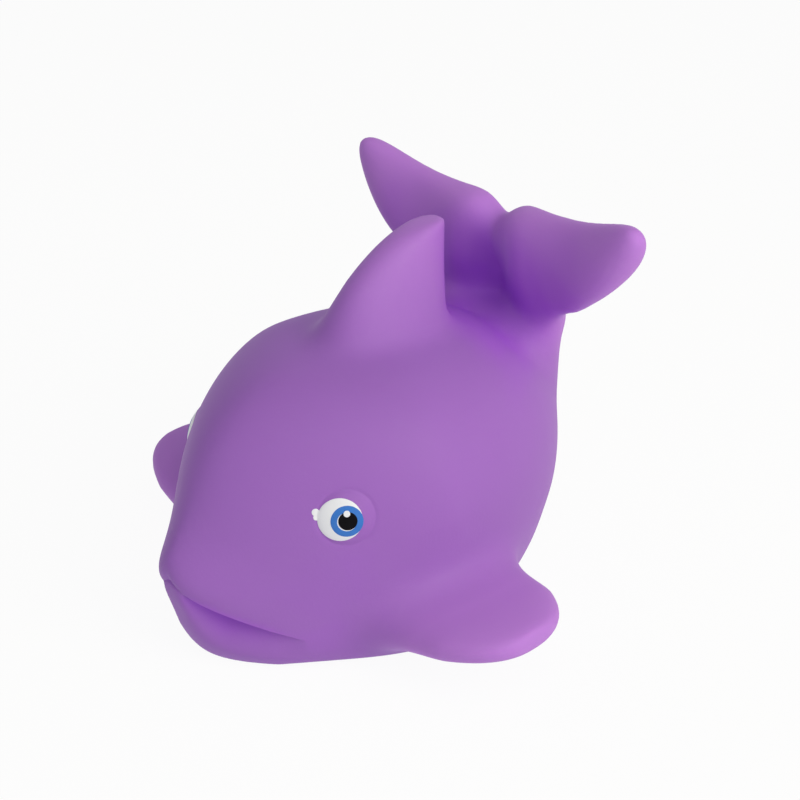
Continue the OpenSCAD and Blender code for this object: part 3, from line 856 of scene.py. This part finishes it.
# %% A fleck of white paint
fleck_drops = ((0.58, 1.1, 4.6), (0.48, 0.3, 4.5))
fleck_low, fleck_high = -0.06, 0.05
white_piece = eye_pieces["left_eye_white"][0]
spill = bmesh.new()
spill.from_mesh(white_piece.data)
for radius, up, forward in fleck_drops:
    drop = coat_disc(radius, fleck_low, fleck_high)
    drop_on_skin(drop, up, forward, "left")
    drop_mesh = bpy.data.meshes.new("drop")
    drop.to_mesh(drop_mesh)
    drop.free()
    spill.from_mesh(drop_mesh)
    bpy.data.meshes.remove(drop_mesh)
spill.to_mesh(white_piece.data)
spill.free()
for name, (piece, side, sign, slot) in eye_pieces.items():
    place(piece)
    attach(piece, side + "_cheek")
    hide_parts(name)
    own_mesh(piece)
print("the fleck has", len(white_piece.data.polygons), "faces together with its coat")

# %% [markdown]
# Nothing on a cast or moulded toy is perfectly even: the colour drifts a little over a few millimetres
# and a fine grain from the mould breaks the shine. Vinyl, paint and squeaker all need this, so it is one node
# group with its own scales, and each material decides what to do with the two values.

# %% Shared unevenness
def make_moulded_grain():
    """A node group that gives a slow drift and a fine grain, both from 0 to 1."""
    group = bpy.data.node_groups.new("moulded_grain", "ShaderNodeTree")
    face = group.interface
    face.new_socket(name="Vector", in_out="INPUT", socket_type="NodeSocketVector")
    drift_in = face.new_socket(name="Drift Scale", in_out="INPUT", socket_type="NodeSocketFloat")
    grain_in = face.new_socket(name="Grain Scale", in_out="INPUT", socket_type="NodeSocketFloat")
    drift_in.default_value, grain_in.default_value = 60, 2500
    face.new_socket(name="Drift", in_out="OUTPUT", socket_type="NodeSocketFloat")
    face.new_socket(name="Grain", in_out="OUTPUT", socket_type="NodeSocketFloat")
    nodes, links = group.nodes, group.links
    inlet = nodes.new("NodeGroupInput")
    outlet = nodes.new("NodeGroupOutput")
    for name, detail in (("Drift", 3), ("Grain", 2)):
        noise = nodes.new("ShaderNodeTexNoise")
        noise.inputs["Detail"].default_value = detail
        links.new(inlet.outputs["Vector"], noise.inputs["Vector"])
        links.new(inlet.outputs[name + " Scale"], noise.inputs["Scale"])
        links.new(noise.outputs["Fac"], outlet.inputs[name])
    return group


moulded_grain = make_moulded_grain()
print("node group:", moulded_grain.name)

# %% [markdown]
# All the finishes are built alike: the drift mixes two close tones and two close roughness values, and the
# grain feeds a weak bump. What is the same all over the surface, such as the subsurface scattering, is set on
# the shader's own socket. The vinyl comes first: a matt violet that lets a little light in.

# %% Vinyl finish
bump_height = 0.0002


def finish(name, tones, rough, drift, grain, bump, **plain):
    """A material with two tones, two roughness values and a fine bump, and plain values for other sockets."""
    material = bpy.data.materials.new(name)
    material.use_nodes = True
    nodes, links = material.node_tree.nodes, material.node_tree.links
    shader = nodes["Principled BSDF"]
    where = nodes.new("ShaderNodeTexCoord")
    uneven = nodes.new("ShaderNodeGroup")
    uneven.node_tree = moulded_grain
    uneven.inputs["Drift Scale"].default_value = drift
    uneven.inputs["Grain Scale"].default_value = grain
    links.new(where.outputs["Object"], uneven.inputs["Vector"])
    blend = nodes.new("ShaderNodeMix")
    blend.data_type = "RGBA"
    for socket, tone in zip("AB", tones):
        blend.inputs[socket].default_value = (*tone, 1)
    links.new(uneven.outputs["Drift"], blend.inputs["Factor"])
    links.new(blend.outputs["Result"], shader.inputs["Base Color"])
    gloss = nodes.new("ShaderNodeMapRange")
    gloss.inputs["To Min"].default_value, gloss.inputs["To Max"].default_value = rough
    links.new(uneven.outputs["Drift"], gloss.inputs["Value"])
    links.new(gloss.outputs[0], shader.inputs["Roughness"])
    fine = nodes.new("ShaderNodeBump")
    fine.inputs["Strength"].default_value = bump
    fine.inputs["Distance"].default_value = bump_height
    links.new(uneven.outputs["Grain"], fine.inputs["Height"])
    links.new(fine.outputs[0], shader.inputs["Normal"])
    for socket, value in plain.items():
        shader.inputs[socket.replace("_", " ")].default_value = value
    return material


vinyl = finish("vinyl_finish", ((0.315, 0.130, 0.49), (0.35, 0.148, 0.54)), rough=(0.48, 0.58),
               drift=45, grain=2200, bump=0.1, Specular_IOR_Level=0.15, Subsurface_Weight=0.15,
               Subsurface_Radius=(1, 0.5, 0.9), Subsurface_Scale=0.002)
print("vinyl nodes:", len(vinyl.node_tree.nodes))

# %% [markdown]
# The two attributes that were kept with the points now tint the violet: a painted glow, paler and pinker, where
# the casting is thin, and painted shade, deeper, in the hollows. Painting the colours by hand would do the
# same, but the measured attributes follow the shape whenever it is changed.

# %% Painted glow and painted shade on the vinyl
# tones of the painted glow where the vinyl is thin and of the painted shade in the hollows
painted_glow_tone, hollow_tone = (0.47, 0.202, 0.66), (0.37, 0.092, 0.67)


def tint_where(material, attribute, tone):
    """Mixes a tone into the base colour by an attribute that was kept with the points."""
    nodes, links = material.node_tree.nodes, material.node_tree.links
    shader = nodes["Principled BSDF"]
    before = shader.inputs["Base Color"].links[0].from_socket
    kept = nodes.new("ShaderNodeAttribute")
    kept.attribute_name = attribute
    mix = nodes.new("ShaderNodeMix")
    mix.data_type = "RGBA"
    mix.inputs["B"].default_value = (*tone, 1)
    links.new(kept.outputs["Fac"], mix.inputs["Factor"])
    links.new(before, mix.inputs["A"])
    links.new(mix.outputs["Result"], shader.inputs["Base Color"])


# paint a glow where the vinyl is thin, and shade in the hollows
tint_where(vinyl, "thin", painted_glow_tone)
tint_where(vinyl, "hollow", hollow_tone)
print("vinyl nodes with both tints:", len(vinyl.node_tree.nodes))

# %% [markdown]
# The eye paints are smoother than the vinyl and let no light in. The squeaker is plain off-white plastic, its
# reed sits in a greyer holder, and the reed itself is a yellowish film that shines a little more.

# %% Paint, squeaker and reed
white_paint = finish("white_print", ((0.76, 0.77, 0.83), (0.82, 0.83, 0.88)), rough=(0.3, 0.4),
                     drift=300, grain=3000, bump=0.06, Specular_IOR_Level=0.3)
blue_paint = finish("blue_print", ((0.03, 0.15, 0.52), (0.05, 0.20, 0.61)), rough=(0.3, 0.4),
                    drift=900, grain=3000, bump=0.06, Specular_IOR_Level=0.2)
black_paint = finish("black_print", ((0.003, 0.003, 0.004), (0.007, 0.007, 0.009)), rough=(0.25, 0.35),
                     drift=900, grain=3000, bump=0.06, Specular_IOR_Level=0.04)
squeaker_plastic = finish("squeaker_finish", ((0.74, 0.73, 0.68), (0.80, 0.79, 0.75)), rough=(0.38, 0.5),
                          drift=120, grain=1800, bump=0.1, Subsurface_Weight=0.1, Subsurface_Scale=0.001)
reed_plastic = finish("reed_holder_finish", ((0.52, 0.50, 0.42), (0.60, 0.57, 0.49)), rough=(0.4, 0.52),
                      drift=200, grain=1800, bump=0.1)
reed_film = finish("reed_finish", ((0.78, 0.70, 0.42), (0.84, 0.78, 0.52)), rough=(0.2, 0.3),
                   drift=300, grain=2500, bump=0.05)
print("finishes:", sorted(m.name for m in bpy.data.materials if m.name.endswith(("_finish", "_print"))))

# %% [markdown]
# Every piece wears exactly one finish. The skin and the eye coats are new meshes, and the squeaker's pieces
# are the CAD model's own, whose meshes are already right and only need their material.

# %% Dress the pieces
paints = {"white_paint": white_paint, "blue_paint": blue_paint, "black_paint": black_paint}
squeaker_wears = {"squeaker_cup": squeaker_plastic, "squeaker_cap": squeaker_plastic,
                  "reed_channel": reed_plastic, "reed_wedge": reed_plastic, "reed": reed_film}


def wear(piece, material):
    """Gives a piece its one material."""
    piece.data.materials.clear()
    piece.data.materials.append(material)


wear(skin, vinyl)
for piece, side, sign, slot in eye_pieces.values():
    wear(piece, paints[slot])
for node, material in squeaker_wears.items():
    wear(frame["nodes"][node], material)
print("dressed:", 1 + len(eye_pieces) + len(squeaker_wears), "pieces")
